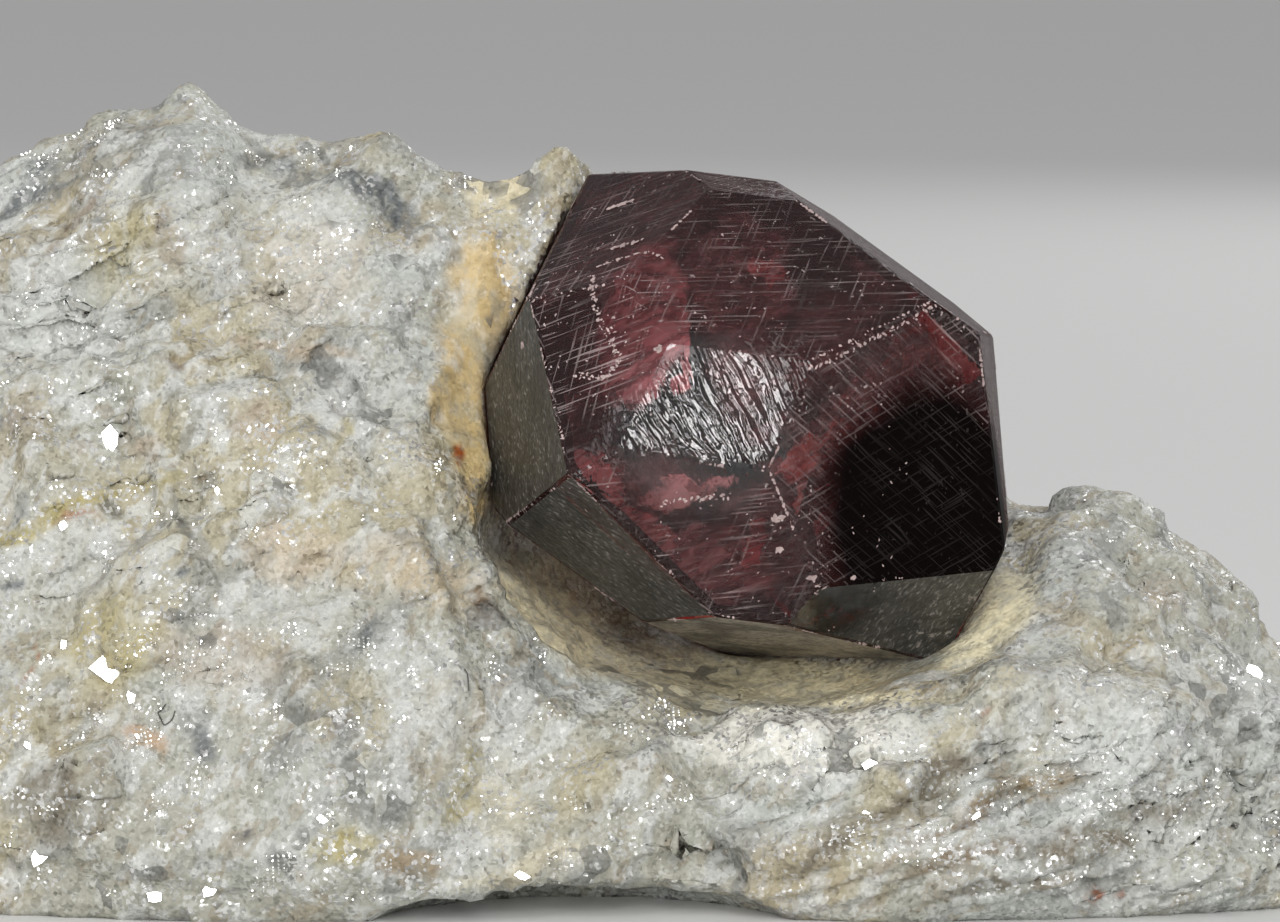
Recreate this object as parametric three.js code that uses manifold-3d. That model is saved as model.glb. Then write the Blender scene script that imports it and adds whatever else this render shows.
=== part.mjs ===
// A garnet crystal in its matrix: one dark red crystal, half sunk in a broken piece of white quartz
// and mica rock. Millimetres, +Z up, the side that shows the crystal best faces -Y.
// The origin lies on the ground, under the middle of the rock.
import * as THREE from "three";
import { mergeVertices } from "three/addons/utils/BufferGeometryUtils.js";
import Module from "manifold-3d";

const wasm = await Module();
wasm.setup();

// The crystal: where its middle is, how it is turned, and how far each face lies from its middle.
const CRYSTAL_CENTRE = new THREE.Vector3(2.1, 0, 9);
const CRYSTAL_TURN = { x: 168.5, y: 29.1, z: 38 };
const HIDDEN_LARGE_FACE = 4.5;
const HIDDEN_SMALL_FACE = 5.1;

// The faces that show, named by their directions on the crystal's three equal axes.
const SHOWN_FACES = new Map([
  // the small rough face that looks at the viewer
  ["1 1 0", 4.9],
  // the large faces around it: above, right, lower middle, upper left
  ["2 1 -1", 4.4],
  ["2 1 1", 4.53],
  ["1 2 1", 5.17],
  ["1 2 -1", 5.3],
  // top left, left, lower left and lower right
  ["1 1 -2", 4.9],
  ["-1 2 -1", 5.22],
  ["-1 2 1", 5.04],
  ["1 1 2", 5.35],
  // the thin faces seen along the outline: underside, right, upper right, top
  ["-1 1 2", 4.57],
  ["2 -1 1", 5.03],
  ["2 -1 -1", 4.18],
  ["1 0 -1", 4.76],
  // the faces that meet the rock on the left
  ["-2 1 1", 4.23],
  ["-2 1 -1", 4.8],
  ["-1 1 -2", 4.93],
  // faces just behind the outline
  ["1 -1 2", 5.65],
  ["1 -1 -2", 4.41],
  // corners that stay sharp
  ["0 1 1", 5.72],
  ["0 1 -1", 6.2],
  ["1 0 1", 6],
  ["-1 1 0", 5.54],
  ["1 -1 0", 5.54],
]);

// The rock's socket is this much wider than the crystal, all round.
const SOCKET_GAP = 0.06;

// The smooth hollow in the rock in front of the crystal's foot.
const HOLLOW_CENTRE = new THREE.Vector3(2.2, -2.3, 6.9);
const HOLLOW_RADII = new THREE.Vector3(5.5, 4.3, 3.35);

// The low arch under the front edge of the rock.
const ARCH_CENTRE = new THREE.Vector3(-1.1, -7.4, 0);
const ARCH_RADII = new THREE.Vector3(4.1, 3.4, 0.75);

// Guide lines that run from left to right over the rock, each a list of [x, y, z] points.
const FRONT_TOE = [
  [-15.2, -3.4, 0], [-14.2, -4.9, 0], [-13, -5.7, 0], [-9, -6.5, 0], [-4, -6.6, 0], [0, -6.2, 0],
  [5, -6.6, 0], [9, -6.2, 0], [12, -5.4, 0], [14.2, -4, 0], [15, -2.6, 0],
];
const BELLY = [
  [-15.2, -3.9, 1.7], [-14.3, -5.6, 1.5], [-13, -6.5, 1.4], [-9, -7.2, 1.5], [-4, -7.3, 1.3], [-2.8, -6.8, 1.4],
  [0, -6.9, 1.5], [5, -7.2, 1.4], [9, -7, 1.3], [12, -6.1, 1.2], [14.2, -4.5, 1], [15, -2.8, 0.8],
];
const WAIST = [
  [-15.2, -2.6, 4.6], [-14.2, -4, 5.2], [-12, -5, 5.4], [-8, -5.7, 5.5], [-4.3, -5.8, 5.2], [-2.9, -5.1, 4.2],
  [-1, -5.4, 3.8], [2, -5.7, 3.6], [5, -5.5, 3.6], [7, -5.2, 4.1], [9, -4.9, 4.6],
  [12, -4, 3.3], [14, -3.1, 2.4], [15, -1.8, 1.4],
];
const BROW = [
  [-15.2, -0.6, 7.4], [-14.3, -1.8, 9], [-13, -2.6, 9.8], [-9, -3.4, 10.1], [-5.5, -3, 10], [-4, -2.1, 9.7],
  [-3, -1.4, 9], [-1.5, -1.4, 6], [1, -1.5, 4.8], [5, -1, 4.5], [7, -1.6, 5.3],
  [8.2, -2.2, 5.9], [10, -2, 5.9], [12, -1.3, 4.3], [14, -0.8, 2.9], [15, -0.5, 1.8],
];
const CREST = [
  [-15.2, 2.6, 10.6], [-14.5, 2.8, 12.9], [-13.8, 2.4, 14], [-13, 2, 14.4], [-11.8, 2, 14.7], [-10.7, 2, 15.1],
  [-10, 2, 15.3], [-9.2, 2, 15.7], [-8.4, 2, 15.4], [-8, 2, 14.7], [-7.2, 2, 14.4],
  [-5.8, 1.2, 14.4], [-4.2, 1.2, 14], [-3.2, 1.1, 14], [-2.2, 1, 14.2], [-1.5, 1, 14.3],
  [-1.1, 1.4, 14], [-0.4, 2.8, 12.9], [1, 4.4, 11.9], [3, 5.1, 10.5], [5, 5, 9.1],
  [6.6, 4, 7.9], [7.4, 2.8, 7.2], [8, 2, 7.1], [8.9, 2, 7.5], [10, 2, 7.1],
  [10.4, 2, 6.8], [11.2, 2, 6.1], [12.3, 2, 5], [13.1, 2, 4.3], [14.2, 1.8, 3.2], [15, 1.4, 2.1],
];
const BACK_SHOULDER = [
  [-15.2, 4.6, 8], [-14.3, 5.6, 10], [-13, 6.2, 11.6], [-9, 6.6, 12.3], [-5, 6.4, 11.4], [-1, 6.9, 10.4],
  [3, 7.7, 8.1], [7, 6.8, 6.3], [10, 5.6, 5.5], [13, 4.6, 3.3], [15, 2.8, 1.7],
];
const BACK_WAIST = [
  [-15.2, 5.2, 4.4], [-14.2, 6.8, 5], [-12, 8.6, 5.6], [-7, 9.6, 5.8], [-2, 9.4, 5.4], [4, 9.9, 4.3],
  [9, 8.7, 3.2], [12, 7.4, 2.3], [14.2, 5.6, 1.5], [15, 3.8, 1],
];
const BACK_TOE = [
  [-15.2, 4.8, 0], [-14.2, 6.5, 0], [-12, 8.2, 0], [-7, 9.1, 0], [-2, 9, 0], [4, 9.3, 0],
  [9, 8.4, 0], [12, 7.2, 0], [14.2, 5.4, 0], [15, 3.4, 0],
];

// How finely the rock is cut into flats: stations along it, and steps from guide line to guide line.
const STATIONS = 62;
const STEPS_UP_AND_OVER = [3, 5, 6, 6, 5, 6, 4];
const STEPS_ON_GROUND = 7;

// The broken surface: large humps, smaller lumps and sharp chips, each a size and a height.
const HUMPS = { size: 3.4, height: 0.42 };
const LUMPS = { size: 1.3, height: 0.26 };
const CHIPS = { size: 0.55, height: 0.1 };

// Each end of the rock closes over rings that shrink to this share of the end section, and stand
// out from it by this much.
const END_RINGS = [{ share: 0.78, out: 0.32 }, { share: 0.45, out: 0.55 }];

const degrees = THREE.MathUtils.degToRad;

// A random number from 0 to 1 that is always the same at the same grid point.
function gridRandom(i, j, k) {
  const mixed = Math.sin(i * 127.1 + j * 311.7 + k * 74.7) * 43758.5453;
  return mixed - Math.floor(mixed);
}

// Smooth noise from -1 to 1, one grid step to a millimetre.
function noise(point) {
  const cell = point.clone().floor();
  const part = point.clone().sub(cell);
  const ease = (t) => t * t * (3 - 2 * t);
  let sum = 0;
  for (const di of [0, 1]) {
    for (const dj of [0, 1]) {
      for (const dk of [0, 1]) {
        const weightX = di ? ease(part.x) : 1 - ease(part.x);
        const weightY = dj ? ease(part.y) : 1 - ease(part.y);
        const weightZ = dk ? ease(part.z) : 1 - ease(part.z);
        const value = gridRandom(cell.x + di, cell.y + dj, cell.z + dk);
        sum += value * weightX * weightY * weightZ;
      }
    }
  }
  return sum * 2 - 1;
}

// How far the broken surface stands out at a point.
function roughness(point) {
  let height = 0;
  for (const layer of [HUMPS, LUMPS, CHIPS]) {
    height += layer.height * noise(point.clone().divideScalar(layer.size).addScalar(layer.size * 7));
  }
  return height;
}

// The point of a guide line at a given x.
function guidePoint(guide, x) {
  const next = Math.max(1, guide.findIndex((point) => point[0] >= x - 1e-9));
  const [x0, y0, z0] = guide[next - 1];
  const [x1, y1, z1] = guide[next];
  const t = (x - x0) / (x1 - x0);
  return new THREE.Vector3(x, y0 + (y1 - y0) * t, z0 + (z1 - z0) * t);
}

// One closed section of the rock, from the front toe up, over and down to the back toe, and back
// along the ground.
function rockSection(x) {
  const guides = [FRONT_TOE, BELLY, WAIST, BROW, CREST, BACK_SHOULDER, BACK_WAIST, BACK_TOE];
  const corners = guides.map((guide) => guidePoint(guide, x));
  const outline = [];
  STEPS_UP_AND_OVER.forEach((steps, span) => {
    for (let step = 0; step < steps; step += 1) {
      outline.push(corners[span].clone().lerp(corners[span + 1], step / steps));
    }
  });
  const groundStart = outline.length;
  const toeToToe = [corners[corners.length - 1], corners[0]];
  for (let step = 0; step < STEPS_ON_GROUND; step += 1) {
    outline.push(toeToToe[0].clone().lerp(toeToToe[1], step / STEPS_ON_GROUND));
  }
  return { outline, groundStart };
}

// The section with its broken surface: each point above the ground moves out or in.
function roughSection(x) {
  const { outline, groundStart } = rockSection(x);
  return outline.map((point, index) => {
    if (index === 0 || index >= groundStart) {
      return point;
    }
    const before = outline[index - 1];
    const after = outline[(index + 1) % outline.length];
    const outward = new THREE.Vector3(0, before.z - after.z, after.y - before.y).normalize();
    const lift = Math.min(1, point.z / 1.2);
    const moved = point.clone().addScaledVector(outward, roughness(point) * lift);
    moved.z = Math.max(moved.z, 0.25);
    return moved;
  });
}

// The rings that close one end of the rock, from the end section towards its middle.
function endRings(section, outward) {
  const middle = section.reduce((sum, point) => sum.add(point), new THREE.Vector3())
    .divideScalar(section.length);
  return END_RINGS.map(({ share, out }) => section.map((point) => {
    const moved = middle.clone().lerp(point, share);
    moved.x += outward * (out + roughness(moved));
    return moved;
  }));
}

// A closed skin over sections that all have the same number of points.
function loft(sections) {
  const around = sections[0].length;
  const positions = sections.flat().flatMap((point) => point.toArray());
  const triangles = [];
  for (let i = 0; i < sections.length - 1; i += 1) {
    for (let j = 0; j < around; j += 1) {
      const a = i * around + j;
      const b = i * around + ((j + 1) % around);
      const c = a + around;
      const d = b + around;
      const slantOneWay = (i + j) % 2 === 0;
      triangles.push(...(slantOneWay ? [a, c, b, b, c, d] : [a, c, d, a, d, b]));
    }
  }
  for (const end of [0, sections.length - 1]) {
    const middle = positions.length / 3;
    const centre = sections[end].reduce((sum, point) => sum.add(point), new THREE.Vector3());
    positions.push(...centre.divideScalar(around).toArray());
    for (let j = 0; j < around; j += 1) {
      const a = end * around + j;
      const b = end * around + ((j + 1) % around);
      triangles.push(...(end === 0 ? [middle, a, b] : [middle, b, a]));
    }
  }
  const geometry = new THREE.BufferGeometry();
  geometry.setAttribute("position", new THREE.Float32BufferAttribute(positions, 3));
  geometry.setIndex(triangles);
  return geometry;
}

// Every direction of a cubic crystal form: the three numbers in any order, with any signs.
function cubicForm(a, b, c) {
  const orders = [[a, b, c], [a, c, b], [b, a, c], [b, c, a], [c, a, b], [c, b, a]];
  const names = new Set();
  for (const order of orders) {
    for (let signs = 0; signs < 8; signs += 1) {
      const signed = order.map((value, axis) => ((signs >> axis) & 1 && value ? -value : value));
      names.add(signed.join(" "));
    }
  }
  return [...names];
}

// The crystal's planes. A garnet has twenty-four large faces and, cutting their corners, up to
// twelve small ones.
function crystalPlanes(growth) {
  const forms = [
    [cubicForm(2, 1, 1), HIDDEN_LARGE_FACE],
    [cubicForm(1, 1, 0), HIDDEN_SMALL_FACE],
  ];
  return forms.flatMap(([names, hidden]) => names.map((name) => {
    const direction = new THREE.Vector3(...name.split(" ").map(Number)).normalize();
    const distance = (SHOWN_FACES.get(name) ?? hidden) + growth;
    return new THREE.Plane(direction, -distance);
  }));
}

// The part of an outline that lies behind a plane.
function cutOutline(outline, plane) {
  const kept = [];
  outline.forEach((point, index) => {
    const next = outline[(index + 1) % outline.length];
    const here = plane.distanceToPoint(point);
    const there = plane.distanceToPoint(next);
    if (here <= 0) {
      kept.push(point);
    }
    if (here * there < 0) {
      kept.push(point.clone().lerp(next, here / (here - there)));
    }
  });
  return kept;
}

// A closed solid with flat faces, from the planes that bound it.
function planeSolid(planes) {
  const positions = [];
  for (const plane of planes) {
    const aside = new THREE.Vector3(0.31, 0.52, 0.79).cross(plane.normal).normalize();
    const along = plane.normal.clone().cross(aside);
    const foot = plane.normal.clone().multiplyScalar(-plane.constant);
    let outline = [[-1, -1], [1, -1], [1, 1], [-1, 1]].map(([u, v]) => foot.clone()
      .addScaledVector(aside, u * 30).addScaledVector(along, v * 30));
    for (const other of planes) {
      if (other !== plane) {
        outline = cutOutline(outline, other);
      }
    }
    for (let index = 1; index + 1 < outline.length; index += 1) {
      positions.push(...outline[0].toArray());
      positions.push(...outline[index].toArray());
      positions.push(...outline[index + 1].toArray());
    }
  }
  const geometry = new THREE.BufferGeometry();
  geometry.setAttribute("position", new THREE.Float32BufferAttribute(positions, 3));
  return geometry;
}

// The crystal's solid in its place in the rock, grown by a given amount on every face.
function crystalSolid(growth) {
  const geometry = planeSolid(crystalPlanes(growth));
  geometry.rotateZ(degrees(CRYSTAL_TURN.z));
  geometry.rotateY(degrees(CRYSTAL_TURN.y));
  geometry.rotateX(degrees(CRYSTAL_TURN.x));
  geometry.translate(...CRYSTAL_CENTRE.toArray());
  return geometry;
}

// A stretched ball, for the hollows that are cut from the rock.
function ellipsoid(centre, radii) {
  const geometry = new THREE.SphereGeometry(1, 28, 18);
  geometry.scale(...radii.toArray());
  geometry.translate(...centre.toArray());
  return geometry;
}

// A three.js geometry as a manifold solid, for cutting.
function toManifold(geometry) {
  const bare = geometry.clone();
  bare.deleteAttribute("normal");
  bare.deleteAttribute("uv");
  const joined = mergeVertices(bare, 1e-4);
  const indices = [...joined.index.array];
  const triVerts = [];
  for (let corner = 0; corner < indices.length; corner += 3) {
    const [a, b, c] = indices.slice(corner, corner + 3);
    if (a !== b && b !== c && c !== a) {
      triVerts.push(a, b, c);
    }
  }
  return new wasm.Manifold(new wasm.Mesh({
    numProp: 3,
    vertProperties: new Float32Array(joined.attributes.position.array),
    triVerts: new Uint32Array(triVerts),
  }));
}

// A cut manifold solid as a three.js geometry again.
function fromManifold(solid) {
  const cut = solid.getMesh();
  const geometry = new THREE.BufferGeometry();
  geometry.setAttribute("position", new THREE.Float32BufferAttribute([...cut.vertProperties], 3));
  geometry.setIndex([...cut.triVerts]);
  return geometry;
}

function matrixGeometry() {
  const first = FRONT_TOE[0][0];
  const last = FRONT_TOE[FRONT_TOE.length - 1][0];
  const sections = [];
  for (let station = 0; station <= STATIONS; station += 1) {
    sections.push(roughSection(first + ((last - first) * station) / STATIONS));
  }
  const leftRings = endRings(sections[0], -1).reverse();
  const rightRings = endRings(sections[STATIONS], 1);
  const rock = toManifold(loft([...leftRings, ...sections, ...rightRings]));
  const socket = toManifold(crystalSolid(SOCKET_GAP));
  const hollow = toManifold(ellipsoid(HOLLOW_CENTRE, HOLLOW_RADII));
  const arch = toManifold(ellipsoid(ARCH_CENTRE, ARCH_RADII));
  return fromManifold(rock.subtract(socket).subtract(hollow).subtract(arch));
}

const matrix = new THREE.Mesh(
  matrixGeometry(),
  new THREE.MeshStandardMaterial({ color: 0xd6d2c4, roughness: 0.7, metalness: 0, flatShading: true }),
);
matrix.name = "matrix";

const garnet = new THREE.Mesh(
  crystalSolid(0),
  new THREE.MeshStandardMaterial({ color: 0x4a0f14, roughness: 0.15, metalness: 0, flatShading: true }),
);
garnet.name = "garnet";

const specimen = new THREE.Group();
specimen.name = "garnet_in_matrix";
specimen.add(matrix, garnet);

export default specimen;
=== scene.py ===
# A garnet crystal in its matrix, dressed for the picture: the broken white rock with its grains,
# flakes and stains, and the dark red crystal with its frosted faces, chips and inner cracks.
import math
import random

import bpy
import numpy
from mathutils import Matrix, Vector, bvhtree, noise


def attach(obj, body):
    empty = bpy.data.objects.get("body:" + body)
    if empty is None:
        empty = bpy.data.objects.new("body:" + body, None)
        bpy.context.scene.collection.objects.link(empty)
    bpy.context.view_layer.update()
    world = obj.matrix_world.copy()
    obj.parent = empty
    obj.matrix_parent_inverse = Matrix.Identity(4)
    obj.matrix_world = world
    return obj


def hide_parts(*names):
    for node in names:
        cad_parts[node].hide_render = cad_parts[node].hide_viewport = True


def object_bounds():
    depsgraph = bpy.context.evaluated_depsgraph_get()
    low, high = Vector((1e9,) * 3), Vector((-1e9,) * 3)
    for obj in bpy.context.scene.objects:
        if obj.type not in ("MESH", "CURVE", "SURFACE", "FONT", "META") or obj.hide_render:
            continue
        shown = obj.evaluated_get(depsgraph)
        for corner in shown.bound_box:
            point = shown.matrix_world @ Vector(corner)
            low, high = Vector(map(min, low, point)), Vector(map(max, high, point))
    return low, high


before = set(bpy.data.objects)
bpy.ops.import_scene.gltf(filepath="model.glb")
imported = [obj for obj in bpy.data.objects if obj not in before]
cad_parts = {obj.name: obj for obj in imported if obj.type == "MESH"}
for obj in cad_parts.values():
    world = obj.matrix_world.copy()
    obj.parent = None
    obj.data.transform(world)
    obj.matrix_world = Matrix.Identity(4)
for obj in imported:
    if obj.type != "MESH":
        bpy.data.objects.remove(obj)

MM = 0.001
cad_low, cad_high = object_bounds()

# The camera looks at the front of the specimen from a little above, through a long lens, so that
# the crystal is seen on the small rough face between its large ones.
camera_data = bpy.data.cameras.new("camera")
camera_data.lens = 140.6
camera_data.sensor_width = 36
camera_data.clip_start = 0.005
camera_data.clip_end = 10
camera = bpy.data.objects.new("camera", camera_data)
camera.location = (0, -99.55 * MM, 18.54 * MM)
camera.rotation_euler = (math.radians(84), 0, 0)
bpy.context.scene.collection.objects.link(camera)
bpy.context.scene.camera = camera


CRYSTAL_MIDDLE = Vector((2.1, 0, 9))


def place_light(name, toward_light, distance, width, height, power):
    """A soft light that looks at the crystal from the given direction; sizes in millimetres."""
    data = bpy.data.lights.new(name, "AREA")
    data.shape = "RECTANGLE"
    data.size = width * MM
    data.size_y = height * MM
    data.energy = power
    light = bpy.data.objects.new(name, data)
    direction = Vector(toward_light).normalized()
    light.location = (CRYSTAL_MIDDLE + direction * distance) * MM
    light.rotation_euler = direction.to_track_quat("Z", "Y").to_euler()
    bpy.context.scene.collection.objects.link(light)


# The key light stands where the rough face of the crystal throws it back at the camera.
TOWARD_KEY = (0.208, -0.895, 0.396)
KEY_DISTANCE = 260
place_light("key_light", TOWARD_KEY, KEY_DISTANCE, 100, 100, 0.26)
place_light("top_light", (-0.12, -0.68, 0.72), 240, 190, 140, 0.14)
place_light("fill_light", (-0.45, -1, 0.06), 300, 180, 70, 0.15)
place_light("left_light", (-1, -0.5, 0.2), 260, 100, 140, 0.07)
place_light("back_light", (0.45, 0.85, 0.5), 260, 160, 120, 0.1)

world = bpy.data.worlds.new("studio")
world.use_nodes = True
bpy.context.scene.world = world
background = world.node_tree.nodes["Background"]
background.inputs["Color"].default_value = (0.96, 0.96, 0.97, 1)
background.inputs["Strength"].default_value = 0.47
bpy.context.scene.view_settings.view_transform = "Standard"

bpy.ops.object.select_all(action="DESELECT")
bpy.ops.mesh.primitive_circle_add(vertices=96, radius=8, fill_type="NGON", location=(0, 0, 0))
floor = bpy.context.object
floor.name = "floor"
floor_material = bpy.data.materials.new("pale_floor")
floor_material.use_nodes = True
floor_shader = floor_material.node_tree.nodes["Principled BSDF"]
floor_shader.inputs["Base Color"].default_value = (0.74, 0.74, 0.73, 1)
floor_shader.inputs["Roughness"].default_value = 0.85
floor.data.materials.append(floor_material)


# The rock: one broken piece of white quartz and mica. Its body is the solid rock, remeshed finely
# and broken up by humps, layers and grains; it stays smooth where the crystal has moulded it.
ROCK_VOXEL = 0.21


def merged_copy(node, name):
    """A new object on a solid's mesh, with its loose triangles joined."""
    copy = bpy.data.objects.new(name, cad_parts[node].data.copy())
    copy.data.materials.clear()
    bpy.context.scene.collection.objects.link(copy)
    bpy.ops.object.select_all(action="DESELECT")
    copy.select_set(True)
    bpy.context.view_layer.objects.active = copy
    bpy.ops.object.mode_set(mode="EDIT")
    bpy.ops.mesh.select_all(action="SELECT")
    bpy.ops.mesh.remove_doubles(threshold=0.002 * MM)
    bpy.ops.object.mode_set(mode="OBJECT")
    return copy


def apply_modifier(piece, kind, **settings):
    """Adds a modifier with the given settings and applies it."""
    modifier = piece.modifiers.new(kind.lower(), kind)
    for key, value in settings.items():
        setattr(modifier, key, value)
    bpy.context.view_layer.objects.active = piece
    bpy.ops.object.modifier_apply(modifier=modifier.name)


rock = merged_copy("matrix", "matrix_rock")
apply_modifier(rock, "REMESH", mode="VOXEL", voxel_size=ROCK_VOXEL * MM, use_smooth_shade=True)

# Only the side that faces the camera gets twice as many facets.
bpy.ops.object.mode_set(mode="EDIT")
bpy.ops.mesh.select_all(action="DESELECT")
bpy.ops.object.mode_set(mode="OBJECT")
for face in rock.data.polygons:
    face.select = face.normal.y < -0.25 and face.center.z > 0.3 * MM
bpy.ops.object.mode_set(mode="EDIT")
bpy.ops.mesh.subdivide(number_cuts=1, smoothness=0)
bpy.ops.object.mode_set(mode="OBJECT")

crystal_tree = bvhtree.BVHTree.FromPolygons(
    [vertex.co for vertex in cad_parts["garnet"].data.vertices],
    [tuple(face.vertices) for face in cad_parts["garnet"].data.polygons],
)


def ramp(value, low, high):
    """0 below low, 1 above high, and even in between."""
    return min(1, max(0, (value - low) / (high - low)))


def inside_box(place):
    """How far a place in millimetres is from the nearest side or top of the specimen's box."""
    low = cad_low / MM
    high = cad_high / MM
    return min(place.x - low.x, high.x - place.x, place.y - low.y, high.y - place.y, high.z - place.z)


PEAK = Vector(max((vertex.co for vertex in rock.data.vertices), key=lambda co: co.z)) / MM
broken = rock.vertex_groups.new(name="broken")
layered = rock.vertex_groups.new(name="layered")
break_amount = []
for vertex in rock.data.vertices:
    place = vertex.co / MM
    near = crystal_tree.find_nearest(vertex.co)[3] / MM
    bowl = ramp(6.5 - place.z, 0, 1) * ramp(place.x, -3.5, -2.5)
    off_crystal = 0.04 + 0.96 * ramp(near, 0.2 + 0.15 * bowl, 1.6 + 1.1 * bowl)
    off_peak = 0.06 + 0.94 * ramp((place - PEAK).length, 1, 4)
    off_crest = 1 - 0.5 * ramp(place.z, 12, 13.2) * ramp(vertex.normal.z, 0.2, 0.6)
    off_side = 0.15 + 0.85 * ramp(inside_box(place), 0.05, 0.9)
    kept = off_peak * off_crest * off_side * off_crystal * ramp(place.z, 0.15, 0.9)
    broken.add([vertex.index], kept, "REPLACE")
    break_amount.append(kept)
    lower_right = ramp(place.x, 1, 4) * ramp(4 - place.z, 0, 1.5)
    upper_left = ramp(-place.x, 5, 9) * ramp(place.z, 9, 12)
    layered.add([vertex.index], kept * max(0.15, lower_right, 0.7 * upper_left), "REPLACE")


# The layers at the lower right lie nearly level: their pattern is flattened and tilted by a guide.
layer_guide = bpy.data.objects.new("layer_guide", None)
layer_guide.rotation_euler = (math.radians(12), math.radians(-17), 0)
layer_guide.scale = (1, 0.8, 0.14)
bpy.context.scene.collection.objects.link(layer_guide)
bpy.context.view_layer.update()

# Each relief has a size and a height in millimetres, the vertex group it is kept to and its depth.
RELIEF = [
    ("humps", 3.2, 0.7, "broken", 1),
    ("lumps", 1.1, 0.14, "broken", 2),
    ("layers", 1.5, 1.4, "layered", 2),
]
for name, size, height, group, depth in RELIEF:
    clouds = bpy.data.textures.new(name, "CLOUDS")
    clouds.noise_scale = size * MM
    clouds.noise_depth = depth
    guide = layer_guide if name == "layers" else None
    apply_modifier(
        rock, "DISPLACE", texture=clouds, strength=height * MM, mid_level=0.5, vertex_group=group,
        texture_coords="OBJECT" if guide else "LOCAL", texture_coords_object=guide,
    )
bpy.data.objects.remove(layer_guide)


def break_facets(piece, amounts, size, height, seed, soft):
    """Breaks a surface into leaning flat facets, in millimetres; soft is how wide their edges are."""
    shift = Vector((seed, seed * 1.7, -seed))
    places = [vertex.co.copy() for vertex in piece.data.vertices]
    normals = [vertex.normal.copy() for vertex in piece.data.vertices]
    for index, weight in enumerate(amounts):
        if weight < 0.03:
            continue
        at = places[index] / MM / size + shift
        distances, points = noise.voronoi(at)
        lean = noise.cell_vector(points[0] * 37) * 2 - Vector((1, 1, 1))
        offset = max(-0.6, min(0.6, (at - points[0]).dot(lean)))
        border = ramp(distances[1] - distances[0], 0, soft)
        places[index] += normals[index] * (height * MM * weight * border * offset)
    piece.data.vertices.foreach_set("co", [value for place in places for value in place])
    piece.data.update()


break_facets(rock, break_amount, 2.5, 0.95, 3, 0.3)
break_facets(rock, break_amount, 1.2, 0.28, 11, 0.25)
break_facets(rock, break_amount, 0.5, 0.09, 29, 0.2)

# The peak is a sharp point, so the shoulders round it sink a little.
for vertex in rock.data.vertices:
    place = vertex.co / MM
    beside = (place.xy - PEAK.xy).length
    shoulder = ramp(beside, 0.1, 0.6) * (1 - ramp(beside, 1, 2))
    sunk = 0.35 * shoulder * ramp(place.z, PEAK.z - 1.6, PEAK.z - 0.5)
    vertex.co.z -= sunk * MM


# No point of the rock may stand outside the solid specimen's box.
for vertex in rock.data.vertices:
    for axis in range(3):
        vertex.co[axis] = min(cad_high[axis], max(cad_low[axis], vertex.co[axis]))


def add_node(tree, kind, inputs=None, **settings):
    """A shader node with its settings and its inputs, which are values or other nodes' sockets."""
    node = tree.nodes.new(kind)
    for key, value in settings.items():
        setattr(node, key, value)
    for name, value in (inputs or {}).items():
        if isinstance(value, bpy.types.NodeSocket):
            tree.links.new(value, node.inputs[name])
        else:
            node.inputs[name].default_value = value
    return node


def new_material(name):
    """A material with its node tree and its main shader."""
    material = bpy.data.materials.new(name)
    material.use_nodes = True
    return material, material.node_tree, material.node_tree.nodes["Principled BSDF"]


def mm_place(tree):
    """The place on a piece in millimetres."""
    coordinates = add_node(tree, "ShaderNodeTexCoord")
    scaled = add_node(tree, "ShaderNodeVectorMath", {0: coordinates.outputs["Object"]}, operation="SCALE")
    scaled.inputs["Scale"].default_value = 1000
    return scaled.outputs[0]


def noise_field(tree, place, per_mm, detail=2, shift=0, stretch=(1, 1, 1), turn=(0, 0, 0)):
    """Cloudy noise around one half, so many clouds to a millimetre, stretched and turned."""
    moved = add_node(tree, "ShaderNodeMapping", {
        "Vector": place, "Location": (shift, shift * 0.7, -shift), "Rotation": turn, "Scale": stretch,
    }, vector_type="TEXTURE")
    field = add_node(tree, "ShaderNodeTexNoise", {
        "Vector": moved.outputs[0], "Scale": per_mm, "Detail": detail, "Roughness": 0.6,
    })
    return field.outputs["Fac"]


def step_mask(tree, value, low, high):
    """0 where value is under low, 1 over high, with a soft step between."""
    step = add_node(tree, "ShaderNodeMapRange", {
        "Value": value, "From Min": low, "From Max": high, "To Min": 0, "To Max": 1,
    }, interpolation_type="SMOOTHSTEP")
    return step.outputs["Result"]


def multiply(tree, first, second):
    """The product of two values or masks."""
    return add_node(tree, "ShaderNodeMath", {0: first, 1: second}, operation="MULTIPLY").outputs[0]


def mix_colour(tree, mask, strength, below, above):
    """One colour laid over another where the mask is."""
    factor = multiply(tree, mask, strength)
    mix = tree.nodes.new("ShaderNodeMix")
    mix.data_type = "RGBA"
    for socket, value in ((0, factor), (6, below), (7, above)):
        if isinstance(value, bpy.types.NodeSocket):
            tree.links.new(value, mix.inputs[socket])
        else:
            mix.inputs[socket].default_value = value
    return mix.outputs[2]


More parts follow.
